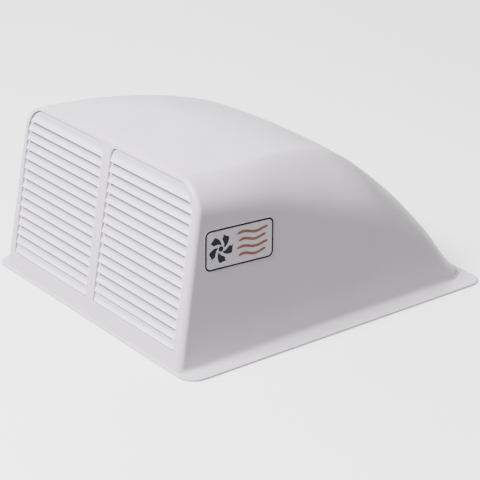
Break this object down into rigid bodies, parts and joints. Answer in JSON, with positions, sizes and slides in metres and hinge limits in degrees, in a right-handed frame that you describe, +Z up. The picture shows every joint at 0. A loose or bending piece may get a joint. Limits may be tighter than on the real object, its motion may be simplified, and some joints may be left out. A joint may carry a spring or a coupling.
{
  "type": "roof vent cover",
  "caption": "White ventilated roof hood with a sloped front, louvred rear wall behind two windows, a flat flange and steel mounting brackets inside.",
  "frame": {"origin": "centre of the footprint, on the plane that the flange and the brackets stand on", "axes": "+Z up, +Y towards the low front end, +X towards the labelled side"},
  "size_m": [0.47, 0.488, 0.238],
  "materials": {
    "hood_plastic": "satin moulded white",
    "louvre_plastic": "satin moulded white",
    "label_film": "printed silver film",
    "zinc_steel": "zinc plated",
    "stainless": "drawn stainless rod",
    "bracket_steel": "zinc plated sheet",
    "screen_mesh": "woven wire",
    "stop_rubber": "matt black",
    "nylon": "natural nylon"
  },
  "bodies": {
    "vent_brackets": {"bracket_rear_left": "bracket_steel", "bracket_rear_right": "bracket_steel", "bracket_front_left": "bracket_steel", "bracket_front_right": "bracket_steel", "pivot_bushings": "nylon", "slot_liners": "nylon"},
    "hood": {"hood_shell": "hood_plastic", "side_label": "label_film", "pivot_block_left": "hood_plastic", "pivot_block_right": "hood_plastic", "catch_block_left": "hood_plastic", "catch_block_right": "hood_plastic", "pivot_bolts": "zinc_steel", "pivot_washers": "zinc_steel", "catch_bolts": "zinc_steel", "catch_washers": "zinc_steel", "hatch_bearings": "hood_plastic", "hatch_stops": "stop_rubber"},
    "hatch_left": {"louvre_panel_left": "louvre_plastic", "insect_screen_left": "screen_mesh", "screen_frame_left": "louvre_plastic", "screen_screws_left": "zinc_steel", "hatch_rod_left": "stainless"},
    "hatch_right": {"louvre_panel_right": "louvre_plastic", "insect_screen_right": "screen_mesh", "screen_frame_right": "louvre_plastic", "screen_screws_right": "zinc_steel", "hatch_rod_right": "stainless"}
  },
  "joints": [
    {"name": "hood_tilt", "type": "hinge", "parent": "vent_brackets", "child": "hood", "pos_m": [0, -0.218, 0.014], "axis": [1, 0, 0], "range_deg": [0, 80]},
    {"name": "hatch_left_swing", "type": "hinge", "parent": "hood", "child": "hatch_left", "pos_m": [-0.1, -0.23138, 0.02955], "axis": [1, 0, 0], "range_deg": [0, 90]},
    {"name": "hatch_right_swing", "type": "hinge", "parent": "hood", "child": "hatch_right", "pos_m": [0.1, -0.23138, 0.02955], "axis": [1, 0, 0], "range_deg": [0, 90]}
  ]
}
